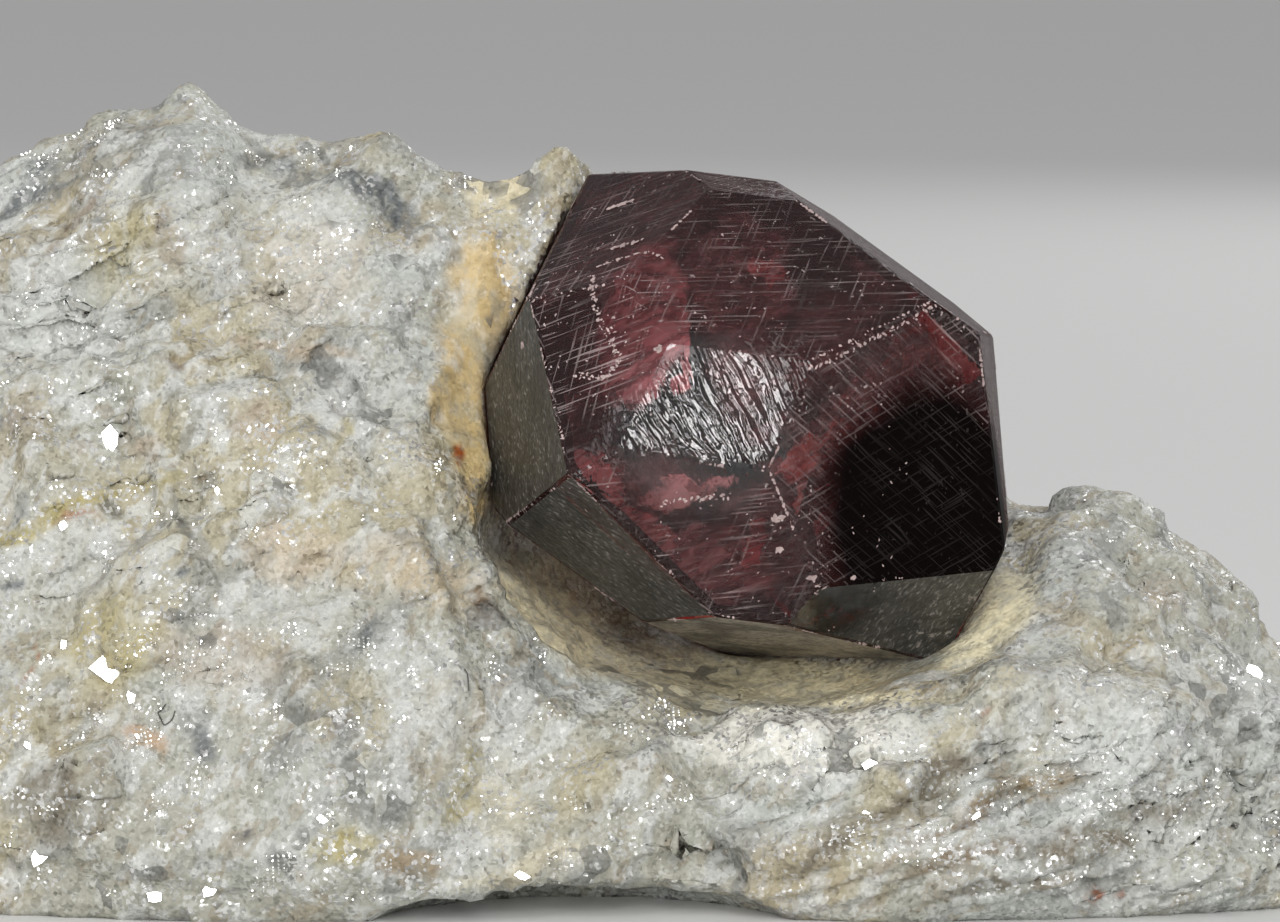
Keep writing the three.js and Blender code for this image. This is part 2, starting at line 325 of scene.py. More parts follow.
def grain_facets_group():
    """Flat grains: each cell has a number of its own and leans its own way."""
    group = bpy.data.node_groups.new("grain_facets", "ShaderNodeTree")
    for name, kind in (("Place", "NodeSocketVector"), ("Normal", "NodeSocketVector"),
                       ("Cells per mm", "NodeSocketFloat"), ("Lean", "NodeSocketFloat")):
        group.interface.new_socket(name, in_out="INPUT", socket_type=kind)
    for name, kind in (("Number", "NodeSocketFloat"), ("Normal", "NodeSocketVector"),
                       ("Middle", "NodeSocketFloat")):
        group.interface.new_socket(name, in_out="OUTPUT", socket_type=kind)
    given = group.nodes.new("NodeGroupInput").outputs
    result = group.nodes.new("NodeGroupOutput").inputs
    cells = add_node(group, "ShaderNodeTexVoronoi", {
        "Vector": given["Place"], "Scale": given["Cells per mm"], "Randomness": 1,
    })
    centred = add_node(group, "ShaderNodeVectorMath", {0: cells.outputs["Color"], 1: (0.5, 0.5, 0.5)},
                       operation="SUBTRACT")
    lean = add_node(group, "ShaderNodeVectorMath", {0: centred.outputs[0], "Scale": given["Lean"]},
                    operation="SCALE")
    leaning = add_node(group, "ShaderNodeVectorMath", {0: lean.outputs[0], 1: given["Normal"]},
                       operation="ADD")
    normal = add_node(group, "ShaderNodeVectorMath", {0: leaning.outputs[0]}, operation="NORMALIZE")
    number = add_node(group, "ShaderNodeSeparateColor", {"Color": cells.outputs["Color"]})
    group.links.new(number.outputs["Green"], result["Number"])
    group.links.new(normal.outputs[0], result["Normal"])
    group.links.new(cells.outputs["Distance"], result["Middle"])
    return group


grain_facets = grain_facets_group()


def place_facets(tree, place, normal, per_mm, lean):
    """The grain facets in a material, with their size and how far they lean."""
    node = add_node(tree, "ShaderNodeGroup", node_tree=grain_facets)
    tree.links.new(place, node.inputs["Place"])
    tree.links.new(normal, node.inputs["Normal"])
    node.inputs["Cells per mm"].default_value = per_mm
    node.inputs["Lean"].default_value = lean
    return node.outputs


rock_material, tree, rock_shader = new_material("quartz_and_mica_rock")
place = mm_place(tree)
geometry_normal = add_node(tree, "ShaderNodeNewGeometry").outputs["Normal"]

# Broad clouds of colour first, then smaller ones: clouds to a millimetre, a shift of the pattern,
# the values where they begin and are full, the colour and how strongly it covers.
MOTTLES = [
    (0.2, 0, 0.46, 0.6, (0.46, 0.48, 0.445, 1), 0.85),
    (0.28, 11, 0.5, 0.62, (0.45, 0.39, 0.24, 1), 0.7),
    (0.45, 23, 0.54, 0.64, (0.38, 0.32, 0.21, 1), 0.6),
    (0.7, 31, 0.55, 0.63, (0.27, 0.275, 0.26, 1), 0.65),
    (1.1, 41, 0.53, 0.6, (0.6, 0.61, 0.58, 1), 0.65),
    (2, 53, 0.58, 0.63, (0.3, 0.25, 0.17, 1), 0.5),
    (4, 61, 0.55, 0.62, (0.68, 0.69, 0.67, 1), 0.35),
]
colour = (0.4, 0.395, 0.33, 1)
for per_mm, shift, low, high, above, strength in MOTTLES:
    clouds = noise_field(tree, place, per_mm, shift=shift, stretch=(1, 1, 1.9), turn=(0, 0.5, 0))
    mask = step_mask(tree, clouds, low, high)
    colour = mix_colour(tree, mask, strength, colour, above)


# The stains of the front, with the cream of the bed and the ochre partly painted light: middle, half
# sizes, turn in degrees, colour and how strongly each covers.
WHITE = (0.57, 0.58, 0.55, 1)
# The cream of the crystal's bed is its own colour, made paler to make up for the crystal's shadow on the
# bed: partly painted light.
CREAM_AND_PAINTED_LIGHT = (0.93, 0.84, 0.57, 1)
TAN = (0.31, 0.235, 0.14, 1)
# The ochre is its own stain colour, made paler for the light that the lip catches: partly painted light.
OCHRE_AND_PAINTED_LIGHT = (0.64, 0.47, 0.21, 1)
BROWN = (0.16, 0.09, 0.035, 1)
GREY = (0.14, 0.15, 0.15, 1)
RUST = (0.3, 0.07, 0.01, 1)
OLIVE = (0.4, 0.34, 0.14, 1)
PINKISH = (0.42, 0.35, 0.26, 1)
LEAF = (0.19, 0.165, 0.12, 1)
STAINS_AND_PAINTED_LIGHT = [
    ((-8.6, -1, 12.5), (1, 2, 1.4), 0, WHITE, 0.7),
    ((-7, 0.6, 13.2), (1.2, 2, 0.7), 0, WHITE, 0.7),
    ((-11.4, -1.8, 11.2), (1.5, 2.5, 1.5), 0, WHITE, 0.6),
    ((-6.6, -1.2, 11.9), (1.2, 2, 1.2), 0, (0.56, 0.52, 0.44, 1), 0.75),
    ((-11.1, -4.6, 6.7), (1.6, 2, 1.1), 0, WHITE, 0.6),
    ((-6.6, -5.5, 6), (1.4, 2, 0.7), 0, WHITE, 0.6),
    ((-5.2, -3, 9.2), (1.3, 2, 1.4), 0, WHITE, 0.5),
    ((-4, -6.1, 4.2), (0.9, 2, 1.1), 0, WHITE, 0.7),
    ((3, -5.7, 3.4), (2.4, 1.5, 0.8), 0, (0.78, 0.76, 0.68, 1), 0.8),
    ((8.7, -5.7, 3.7), (1.8, 3, 1.4), 0, WHITE, 0.6),
    ((12.5, -2, 3), (1.8, 3, 2), 0, WHITE, 0.6),
    ((-12.5, 1.1, 13.4), (1, 0.8, 0.3), 50, GREY, 0.85),
    ((-11.5, 1, 13.9), (0.9, 0.8, 0.22), 35, GREY, 0.6),
    ((-11.3, -0.2, 12.8), (1.5, 1, 0.14), 62, BROWN, 0.55),
    ((-9.5, -0.7, 13), (0.6, 1, 0.16), 75, BROWN, 0.5),
    ((-9.2, -1.2, 12.3), (0.22, 1, 0.6), 10, TAN, 0.6),
    ((-10.2, -1, 12.3), (0.6, 1.5, 1.2), -15, OLIVE, 0.35),
    ((-7.1, 0.8, 14), (1.1, 1.2, 0.24), -8, GREY, 0.75),
    ((-5.2, 0.2, 13.3), (1.2, 1.2, 0.28), -33, GREY, 0.85),
    ((-6.8, -2.3, 10.5), (1.5, 1, 0.2), -4, PINKISH, 0.8),
    ((-3, 0.4, 11.5), (0.8, 2, 1.2), 20, OCHRE_AND_PAINTED_LIGHT, 0.75),
    ((-3.5, -1.3, 9.8), (0.55, 2, 1.4), 10, OCHRE_AND_PAINTED_LIGHT, 0.7),
    ((-3.2, -2.4, 8.2), (0.4, 1.5, 1.3), 0, OCHRE_AND_PAINTED_LIGHT, 0.7),
    ((-2.9, 0.9, 13.4), (0.7, 1.5, 0.7), 0, (0.7, 0.62, 0.42, 1), 0.8),
    ((-3.5, -2.6, 8.5), (0.09, 1, 0.26), 0, RUST, 0.95),
    ((-3.1, -2.5, 7.4), (0.4, 1.5, 0.5), 0, OCHRE_AND_PAINTED_LIGHT, 0.6),
    ((-4.3, -4.6, 6.3), (1.6, 1.5, 0.6), -15, (0.5, 0.41, 0.27, 1), 0.7),
    ((-3.05, -4.1, 5.8), (0.2, 0.8, 0.45), 0, BROWN, 0.9),
    ((-1.6, -1.5, 5), (1.7, 2.5, 1.5), -30, CREAM_AND_PAINTED_LIGHT, 0.85),
    ((-0.8, -0.8, 4.2), (1.7, 2.2, 0.35), -25, TAN, 0.2),
    ((2.2, -1.5, 3.9), (3.4, 2.2, 0.6), -4, CREAM_AND_PAINTED_LIGHT, 0.8),
    ((4.4, -2.2, 3.9), (3, 1.2, 0.22), 3, OCHRE_AND_PAINTED_LIGHT, 0.25),
    ((6.5, -2.2, 4.8), (0.5, 1.6, 1.2), -25, CREAM_AND_PAINTED_LIGHT, 0.7),
    ((7.2, -1.8, 5.6), (0.6, 1.5, 1.5), 0, CREAM_AND_PAINTED_LIGHT, 0.75),
    ((3.5, -4.3, 3.95), (3.2, 0.8, 0.2), 0, CREAM_AND_PAINTED_LIGHT, 0.7),
    ((5.4, -6.6, 2.6), (1.6, 1.5, 0.26), 22, LEAF, 0.9),
    ((7.2, -6.5, 2.5), (1.5, 1.5, 0.3), 14, TAN, 0.8),
    ((6.3, -6.7, 2), (1.3, 1.5, 0.14), 20, BROWN, 0.6),
    ((8.2, -7, 1.5), (1.5, 1.5, 0.3), 8, LEAF, 0.9),
    ((3.6, -7, 1.6), (1.1, 1.2, 0.35), 32, LEAF, 0.85),
    ((4.6, -7.1, 1.1), (1, 1.2, 0.18), 25, TAN, 0.7),
    ((6, -7.2, 1.2), (1.3, 1.2, 0.2), 20, BROWN, 0.6),
    ((7, -7, 0.8), (1.6, 1.2, 0.16), 10, LEAF, 0.8),
    ((9.6, -6, 2.2), (1.2, 1.5, 0.25), 5, LEAF, 0.7),
    ((8.4, -6.5, 0.7), (0.28, 1, 0.14), 30, RUST, 0.7),
    ((9, -6.5, 0.6), (0.13, 0.8, 0.12), 0, RUST, 0.6),
    ((6.6, -5.6, 4), (0.13, 0.6, 0.09), 0, RUST, 0.7),
    ((-11.5, -4.1, 7.4), (1.5, 1, 0.16), 22, OLIVE, 0.8),
    ((-10, -4.2, 8), (1.4, 1, 0.14), 15, OLIVE, 0.7),
    ((-10.8, -4, 7.5), (0.6, 1, 0.04), 10, RUST, 0.5),
    ((-11.6, -5.2, 4.8), (0.06, 1, 0.6), -20, RUST, 0.55),
    ((-9.3, -6, 3.3), (0.7, 1, 0.2), -15, (0.45, 0.3, 0.18, 1), 0.75),
    ((-10.8, -6.6, 2.3), (0.9, 1, 0.8), 0, LEAF, 0.75),
    ((-5.6, -7.2, 1.5), (0.7, 1, 0.35), 0, OLIVE, 0.8),
    ((-4.2, -7, 1.2), (0.8, 1, 0.28), 0, TAN, 0.7),
    ((-7.9, -5.8, 5), (1.4, 1.2, 0.7), 0, PINKISH, 0.5),
    ((-9.9, -5.3, 5.2), (1, 1.2, 0.7), 20, OLIVE, 0.5),
    ((-6.5, -5.2, 6.9), (1, 1.2, 0.5), 0, (0.55, 0.46, 0.34, 1), 0.6),
    ((-11.9, -3, 9.2), (0.5, 0.8, 0.3), 0, (0.3, 0.26, 0.22, 1), 0.6),
    ((-9.6, -3.7, 8.9), (0.35, 0.8, 0.35), 0, PINKISH, 0.8),
    ((-7.3, -3.8, 9.1), (0.4, 0.8, 0.45), 0, PINKISH, 0.7),
    ((-9, -3.1, 10.3), (0.3, 0.8, 0.1), -45, BROWN, 0.6),
    ((-8.4, -4.1, 8.3), (0.5, 0.8, 0.07), 30, BROWN, 0.5),
    ((-5.8, -3.5, 9), (0.12, 0.8, 0.5), -15, OLIVE, 0.6),
    ((-8.1, -6.5, 3.4), (0.24, 0.8, 0.36), 20, GREY, 0.8),
    ((-7.6, -7.2, 1.7), (0.2, 0.8, 0.14), 0, (0.08, 0.08, 0.08, 1), 0.9),
    ((-8.7, -5, 6.5), (0.22, 0.8, 0.12), 0, GREY, 0.85),
    ((-5.1, -6.1, 5.3), (0.28, 0.8, 0.18), 30, GREY, 0.8),
    ((-12, -4.7, 6.1), (0.25, 0.8, 0.15), 0, GREY, 0.8),
    ((-3.2, -6.4, 2.7), (0.35, 1, 1.3), -25, OLIVE, 0.5),
    ((-2.5, -6.3, 2.5), (0.7, 1, 1.1), -20, (0.66, 0.61, 0.46, 1), 0.6),
    ((-2, -6.7, 1.1), (1.6, 1, 0.3), 10, (0.66, 0.61, 0.46, 1), 0.6),
    ((10.3, -1.6, 5.7), (0.6, 1, 0.5), 0, PINKISH, 0.7),
]
SMOOTH_BOWL = [
    ((-1.6, -1.5, 5), (2.2, 3, 1.9), -30, WHITE, 1),
    ((1.5, -1.5, 4), (3, 3, 0.8), -8, WHITE, 1),
    ((5, -2.5, 4.2), (2.6, 2, 0.7), 0, WHITE, 1),
    ((7, -1.6, 5.4), (0.7, 2, 1.2), 0, WHITE, 1),
    ((-3.2, -1, 10), (0.9, 2.5, 3), 5, WHITE, 1),
]
CLUSTERS = [
    ((-6.2, -6.8, 3.6), (0.7, 1, 0.8), 0, WHITE, 1),
    ((-4.9, -7.1, 2.6), (0.8, 1, 0.8), 0, WHITE, 1),
    ((11, -3.2, 4.1), (0.9, 1.5, 1), 0, WHITE, 1),
    ((3.8, -5.8, 2.9), (0.9, 1, 0.45), 0, WHITE, 1),
    ((-9.2, -7.1, 1.5), (0.9, 1, 0.6), 0, WHITE, 1),
]


def paint_stains(piece, name, stains):
    """Lays stains over each other, with ragged edges, into a colour attribute of the piece."""
    at = [vertex.co / MM for vertex in piece.data.vertices]
    at = [p + noise.noise_vector(p * 0.8) * 0.35 + noise.noise_vector(p * 3.5) * 0.12 for p in at]
    at = numpy.array([tuple(p) for p in at])
    colour = numpy.zeros((len(at), 3))
    cover = numpy.zeros(len(at))
    for middle, size, turn, stain_colour, strength in stains:
        away = at - numpy.array(middle)
        cosine = math.cos(math.radians(turn))
        sine = math.sin(math.radians(turn))
        along = (away[:, 0] * cosine + away[:, 2] * sine) / size[0]
        upward = (away[:, 2] * cosine - away[:, 0] * sine) / size[2]
        distance = numpy.sqrt(along**2 + upward**2 + (away[:, 1] / size[1])**2)
        edge = numpy.clip((1.25 - distance) / 0.7, 0, 1)
        added = strength * edge * edge * (3 - 2 * edge)
        colour = colour * (1 - added[:, None]) + numpy.outer(added, stain_colour[:3])
        cover = cover * (1 - added) + added
    colour = colour / numpy.maximum(cover, 0.001)[:, None]
    layer = piece.data.color_attributes.new(name, "FLOAT_COLOR", "POINT")
    layer.data.foreach_set("color", numpy.column_stack([colour, cover]).ravel())


# The noise that makes the stains' edges ragged starts from a fixed seed.
noise.seed_set(5)
paint_stains(rock, "stains", STAINS_AND_PAINTED_LIGHT)
paint_stains(rock, "clusters", CLUSTERS)
paint_stains(rock, "smooth_bowl", SMOOTH_BOWL)
painted = add_node(tree, "ShaderNodeAttribute", attribute_name="stains")
flecked = add_node(tree, "ShaderNodeMapRange", {
    "Value": noise_field(tree, place, 3, shift=19, stretch=(1, 1, 2.2), turn=(0, 0.3, 0)),
    "From Min": 0.38, "From Max": 0.56, "To Min": 0.5, "To Max": 1.15,
})
colour = mix_colour(
    tree, painted.outputs["Alpha"], flecked.outputs["Result"], colour, painted.outputs["Color"],
)

# Grey quartz grains stand in clusters, and look dark because they are clear.
grains = place_facets(tree, place, geometry_normal, 2.6, 0.35)
cluster = step_mask(tree, noise_field(tree, place, 0.5, shift=83), 0.6, 0.66)
near_front = add_node(tree, "ShaderNodeAttribute", attribute_name="clusters").outputs["Alpha"]
cluster = add_node(tree, "ShaderNodeMath", {0: cluster, 1: near_front}, operation="MAXIMUM").outputs[0]
grey_grain = multiply(tree, step_mask(tree, grains["Number"], 0.5, 0.56), cluster)
colour = mix_colour(tree, grey_grain, 0.7, colour, (0.15, 0.15, 0.14, 1))

# Mica crumbs: tiny flat mirrors, thickest in streaks.
crumbs = place_facets(tree, place, grains["Normal"], 13, 0.9)
streaks = step_mask(tree, noise_field(tree, place, 0.9, shift=97), 0.44, 0.6)
mica = multiply(tree, step_mask(tree, crumbs["Number"], 0.7, 0.75), streaks)
in_bowl = add_node(tree, "ShaderNodeAttribute", attribute_name="smooth_bowl").outputs["Alpha"]
mica = multiply(tree, mica, step_mask(tree, in_bowl, 0.6, 0.2))
colour = mix_colour(tree, mica, 0.8, colour, (0.95, 0.95, 0.93, 1))
tree.links.new(colour, rock_shader.inputs["Base Color"])
tree.links.new(multiply(tree, mica, 0.55), rock_shader.inputs["Metallic"])
roughness = add_node(tree, "ShaderNodeMapRange", {"Value": mica, "To Min": 0.38, "To Max": 0.14})
tree.links.new(roughness.outputs["Result"], rock_shader.inputs["Roughness"])

# The bed of the crystal is calmer: its grains lean less and its fine bump is lower.
calm_normal = add_node(tree, "ShaderNodeMix", data_type="VECTOR")
for socket, value in ((0, multiply(tree, in_bowl, 0.65)), (4, crumbs["Normal"]), (5, geometry_normal)):
    tree.links.new(value, calm_normal.inputs[socket])
calmer = add_node(tree, "ShaderNodeMapRange", {"Value": in_bowl, "To Min": 1, "To Max": 0.5})
rough_height = multiply(tree, noise_field(tree, place, 4.5), calmer.outputs["Result"])
fine = add_node(tree, "ShaderNodeBump", {
    "Height": rough_height, "Strength": 0.5, "Distance": 0.00008,
    "Normal": calm_normal.outputs[1],
})
tree.links.new(fine.outputs[0], rock_shader.inputs["Normal"])
rock.data.materials.append(rock_material)
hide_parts("matrix")
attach(rock, "root")

# The garnet: one clear, dark red crystal. Its small face towards the viewer is ridged and silvery, its
# lower faces are frosted grey, its edges are chipped, and flat cracks lie inside it, with painted pink
# and red glows.
CRYSTAL_TURN = (Matrix.Rotation(math.radians(168.5), 3, "X")
                @ Matrix.Rotation(math.radians(29.1), 3, "Y")
                @ Matrix.Rotation(math.radians(38), 3, "Z"))
EDGE_WEAR = 0.05
FILM_GAP = 0.006


def facing(*indices):
    """The direction that a crystal face looks in, from its indices."""
    return (CRYSTAL_TURN @ Vector(indices)).normalized()


def streak_axes(normal, angle):
    """Along and across a face; along is at an angle in degrees above level, as seen from the front."""
    along = Vector((math.cos(math.radians(angle)), 0, math.sin(math.radians(angle))))
    along = (along - normal * along.dot(normal)).normalized()
    return along, normal.cross(along)


crystal = merged_copy("garnet", "garnet_crystal")
bpy.ops.object.mode_set(mode="EDIT")
bpy.ops.mesh.select_all(action="SELECT")
bpy.ops.mesh.dissolve_limited(angle_limit=math.radians(1))
bpy.ops.object.mode_set(mode="OBJECT")
crystal.data.materials.append(None)
crystal.data.materials.append(None)
apply_modifier(crystal, "BEVEL", width=EDGE_WEAR * MM, segments=1, limit_method="ANGLE", material=1)

crystal_material, tree, shader = new_material("clear_red_garnet")
shader.inputs["Base Color"].default_value = (1, 1, 1, 1)
shader.inputs["Transmission Weight"].default_value = 1
shader.inputs["IOR"].default_value = 1.77
absorption = add_node(tree, "ShaderNodeVolumeAbsorption")
absorption.inputs["Color"].default_value = (0.82, 0.04, 0.11, 1)
absorption.inputs["Density"].default_value = 1100
tree.links.new(absorption.outputs[0], tree.nodes["Material Output"].inputs["Volume"])

# Ridges run down the rough face; the rest of the surface is only faintly uneven.
place = mm_place(tree)


def wavy(tree, place, per_mm, amount):
    """The place, pushed about by noise, so that what is laid out on it gets a ragged edge."""
    field = add_node(tree, "ShaderNodeTexNoise", {"Vector": place, "Scale": per_mm, "Detail": 2})
    centred = add_node(tree, "ShaderNodeVectorMath", {0: field.outputs["Color"], 1: (0.5, 0.5, 0.5)},
                       operation="SUBTRACT")
    pushed = add_node(tree, "ShaderNodeVectorMath", {0: centred.outputs[0], "Scale": amount},
                      operation="SCALE")
    return add_node(tree, "ShaderNodeVectorMath", {0: place, 1: pushed.outputs[0]}).outputs[0]


PATCH_MIDDLE = (1.2, -4.95, 9.3)
patch_along, patch_across = streak_axes(facing(1, 1, 0), -66)
patch_axes = Matrix((patch_along, patch_across, facing(1, 1, 0))).transposed()


def in_patch(tree, place, size):
    """The place in the rough face's own axes, measured in the given sizes."""
    return add_node(tree, "ShaderNodeMapping", {
        "Vector": place, "Location": PATCH_MIDDLE, "Rotation": patch_axes.to_euler("XYZ"), "Scale": size,
    }, vector_type="TEXTURE").outputs[0]


patch_distance = add_node(tree, "ShaderNodeVectorMath", {
    0: wavy(tree, in_patch(tree, place, (1.6, 2.9, 0.7)), 1.6, 0.45),
}, operation="LENGTH").outputs["Value"]
rough_patch = step_mask(tree, patch_distance, 1.1, 0.75)
bent = wavy(tree, place, 0.7, 0.5)
ridges = noise_field(tree, in_patch(tree, bent, (8, 1, 1)), 6.5, detail=1)
pits = noise_field(tree, place, 5, detail=1, shift=5)
height = add_node(tree, "ShaderNodeMath", {0: ridges, 1: multiply(tree, pits, 0.35)}).outputs[0]
amount = add_node(tree, "ShaderNodeMapRange", {"Value": rough_patch, "To Min": 0.04, "To Max": 1})
ridged = add_node(tree, "ShaderNodeBump", {
    "Height": multiply(tree, height, amount.outputs["Result"]), "Strength": 1, "Distance": 0.00011,
})
tree.links.new(ridged.outputs[0], shader.inputs["Normal"])
roughness = add_node(tree, "ShaderNodeMapRange", {"Value": rough_patch, "To Min": 0.03, "To Max": 0.08})
tree.links.new(roughness.outputs["Result"], shader.inputs["Roughness"])
crystal.data.materials[0] = crystal_material
crystal.data.materials[1] = crystal_material
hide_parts("garnet")
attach(crystal, "root")

# The surface film: frost, dust and scratches on the faces and white chips along the edges, with painted
# shade on the right side and painted light on the faces that look down. It lies just outside the crystal,
# and each face's map runs along that face's own scratches.
FROSTED = [((-1, 2, -1), -78), ((-1, 2, 1), -60), ((-1, 1, 2), -6), ((1, 1, 2), 20)]
SCRATCHED = [((2, 1, -1), 12), ((1, 2, -1), 14), ((1, 1, -2), 8), ((2, 1, 1), -35), ((1, 2, 1), 5),
             ((1, 1, 0), -66)]
film = bpy.data.objects.new("garnet_surface", crystal.data.copy())
film.data.materials.clear()
bpy.context.scene.collection.objects.link(film)
film_normals = [vertex.normal.copy() for vertex in film.data.vertices]
for vertex, normal in zip(film.data.vertices, film_normals):
    vertex.co += normal * FILM_GAP * MM
streaks = film.data.uv_layers.new(name="streaks")
film_slots = []
for face in film.data.polygons:
    slot = 2 if face.material_index == 1 else 1
    angle = -40
    for indices, face_angle in FROSTED + SCRATCHED:
        if face.normal.dot(facing(*indices)) > 0.995 and slot != 2:
            angle = face_angle
            slot = 0 if (indices, face_angle) in FROSTED else 1
    film_slots.append(slot)
    along, across = streak_axes(face.normal, angle)
    for loop in face.loop_indices:
        corner = film.data.vertices[film.data.loops[loop].vertex_index].co / MM
        streaks.data[loop].uv = (corner.dot(along), corner.dot(across))


def streak_field(tree, per_mm, stretch, shift=0, turn=0):
    """Noise drawn out along a face's scratches, from the film's own map."""
    uv_map = add_node(tree, "ShaderNodeUVMap", uv_map="streaks")
    return noise_field(tree, uv_map.outputs[0], per_mm, detail=1, shift=shift,
                       stretch=(stretch, 1, 1), turn=(0, 0, math.radians(turn)))


# The frosted faces are dark grey with pale etch marks. The faces that look down are painted paler:
# painted light that makes up for the little light reaching them.
frosted, tree, shader = new_material("frosted_garnet")
place = mm_place(tree)
normal_parts = add_node(tree, "ShaderNodeSeparateXYZ",
                        {0: add_node(tree, "ShaderNodeNewGeometry").outputs["Normal"]})
# Painted light: faces that look down get a paler colour.
painted_light_underside = step_mask(tree, normal_parts.outputs["Z"], -0.75, -0.9)
colour = mix_colour(tree, painted_light_underside, 1, (0.055, 0.051, 0.045, 1), (0.42, 0.37, 0.31, 1))
colour = mix_colour(tree, step_mask(tree, streak_field(tree, 8, 2), 0.52, 0.72), 0.25, colour,
                    (0.15, 0.147, 0.14, 1))
colour = mix_colour(tree, step_mask(tree, streak_field(tree, 14, 2, 7, turn=35), 0.56, 0.68), 0.6, colour,
                    (0.3, 0.29, 0.27, 1))
colour = mix_colour(tree, step_mask(tree, streak_field(tree, 1.2, 1.4, 13), 0.45, 0.66), 0.6, colour,
                    (0.02, 0.019, 0.017, 1))
colour = mix_colour(tree, step_mask(tree, noise_field(tree, place, 7), 0.42, 0.62), 0.6, colour,
                    (0.015, 0.014, 0.013, 1))
specks = step_mask(tree, noise_field(tree, place, 4.5, shift=3), 0.6, 0.7)
corner_away = add_node(tree, "ShaderNodeVectorMath", {0: place, 1: (5.95, -1.9, 5)}, operation="DISTANCE")
near_corner = step_mask(tree, corner_away.outputs["Value"], 1.6, 0.4)
colour = mix_colour(tree, multiply(tree, specks, near_corner), 0.85, colour, (0.3, 0.27, 0.25, 1))
tree.links.new(colour, shader.inputs["Base Color"])
clear_away = add_node(tree, "ShaderNodeVectorMath", {
    0: wavy(tree, place, 1.5, 0.4), 1: (3.7, -4.2, 5.85),
}, operation="DISTANCE")
cover = step_mask(tree, clear_away.outputs["Value"], 0.75, 1.35)
thin = step_mask(tree, streak_field(tree, 5, 8, 21), 0.3, 0.45)
worn = add_node(tree, "ShaderNodeMapRange", {"Value": thin, "To Min": 0.86, "To Max": 0.97})
tree.links.new(multiply(tree, cover, worn.outputs["Result"]), shader.inputs["Alpha"])
shader.inputs["Roughness"].default_value = 0.42
etched = add_node(tree, "ShaderNodeBump", {
    "Height": streak_field(tree, 9, 1.6, 5), "Strength": 0.5, "Distance": 0.00005,
})
tree.links.new(etched.outputs[0], shader.inputs["Normal"])

# Dust and scratches on the clear faces, over a thin dark red film that is thicker on faces turned
# side-on. On the right side the film is nearly black and nearly opaque: painted shade.
dust_and_shade_film, tree, shader = new_material("dust_and_painted_shade_garnet")
place = mm_place(tree)
patches = step_mask(tree, noise_field(tree, place, 0.55, shift=3), 0.38, 0.66)
right_away = add_node(tree, "ShaderNodeVectorMath", {
    0: wavy(tree, place, 0.8, 0.8), 1: (5.6, -3.2, 7.4),
}, operation="DISTANCE")
# The right side, where the film is painted shade.
painted_shade_side = step_mask(tree, right_away.outputs["Value"], 3, 2)
normal_parts = add_node(tree, "ShaderNodeSeparateXYZ",
                        {0: add_node(tree, "ShaderNodeNewGeometry").outputs["Normal"]})
side_on = step_mask(tree, normal_parts.outputs["Y"], -0.45, -0.2)
duller = add_node(tree, "ShaderNodeMapRange", {"Value": side_on, "To Min": 0.2, "To Max": 0.5})
haze_and_painted_shade = add_node(tree, "ShaderNodeMapRange", {
    "Value": painted_shade_side, "To Min": duller.outputs["Result"], "To Max": 0.98,
})
long_scratches = step_mask(tree, streak_field(tree, 19, 26, 2), 0.57, 0.64)
crossing = step_mask(tree, streak_field(tree, 17, 24, 9, turn=63), 0.6, 0.66)
specks = step_mask(tree, noise_field(tree, place, 9, shift=6), 0.66, 0.7)
marks = multiply(tree, long_scratches, 0.5)
for mark, strength in ((crossing, 0.4), (specks, 0.8)):
    marks = add_node(tree, "ShaderNodeMath", {0: marks, 1: multiply(tree, mark, strength)},
                     operation="MAXIMUM").outputs[0]
fewer = add_node(tree, "ShaderNodeMapRange", {"Value": painted_shade_side, "To Min": 1, "To Max": 0.05})
patchy = add_node(tree, "ShaderNodeMapRange", {"Value": patches, "To Min": 0.25, "To Max": 1})
marks = multiply(tree, multiply(tree, marks, fewer.outputs["Result"]), patchy.outputs["Result"])
alpha = add_node(tree, "ShaderNodeMath", {0: marks, 1: haze_and_painted_shade.outputs["Result"]}, operation="MAXIMUM")
patch_away = add_node(tree, "ShaderNodeVectorMath", {0: wavy(tree, place, 1.6, 0.6), 1: PATCH_MIDDLE},
                      operation="DISTANCE")
off_patch = step_mask(tree, patch_away.outputs["Value"], 1.4, 2)
tree.links.new(multiply(tree, alpha.outputs[0], off_patch), shader.inputs["Alpha"])
# The film's colour: dark red where it is thin, nearly black where it paints the shade of the right side.
dark_haze_and_painted_shade = mix_colour(tree, painted_shade_side, 1, (0.06, 0.016, 0.016, 1), (0.002, 0.0007, 0.0007, 1))
colour = mix_colour(tree, marks, 1, dark_haze_and_painted_shade, (0.8, 0.68, 0.66, 1))
tree.links.new(colour, shader.inputs["Base Color"])
shader.inputs["Roughness"].default_value = 0.5
shader.inputs["Specular IOR Level"].default_value = 0.04

# The worn edges are white where they are chipped and clear elsewhere.
chipped, tree, shader = new_material("chipped_garnet_edge")
place = mm_place(tree)
chips = step_mask(tree, noise_field(tree, place, 4), 0.44, 0.54)
stretches = step_mask(tree, noise_field(tree, place, 0.7, shift=8), 0.36, 0.55)
tree.links.new(multiply(tree, chips, multiply(tree, stretches, 0.9)), shader.inputs["Alpha"])
shade = mix_colour(tree, noise_field(tree, place, 9), 1, (0.3, 0.25, 0.24, 1), (0.95, 0.9, 0.86, 1))
tree.links.new(shade, shader.inputs["Base Color"])
shader.inputs["Roughness"].default_value = 0.35

for material in (frosted, dust_and_shade_film, chipped):
    film.data.materials.append(material)
for face, slot in zip(film.data.polygons, film_slots):
    face.material_index = slot
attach(film, "root")

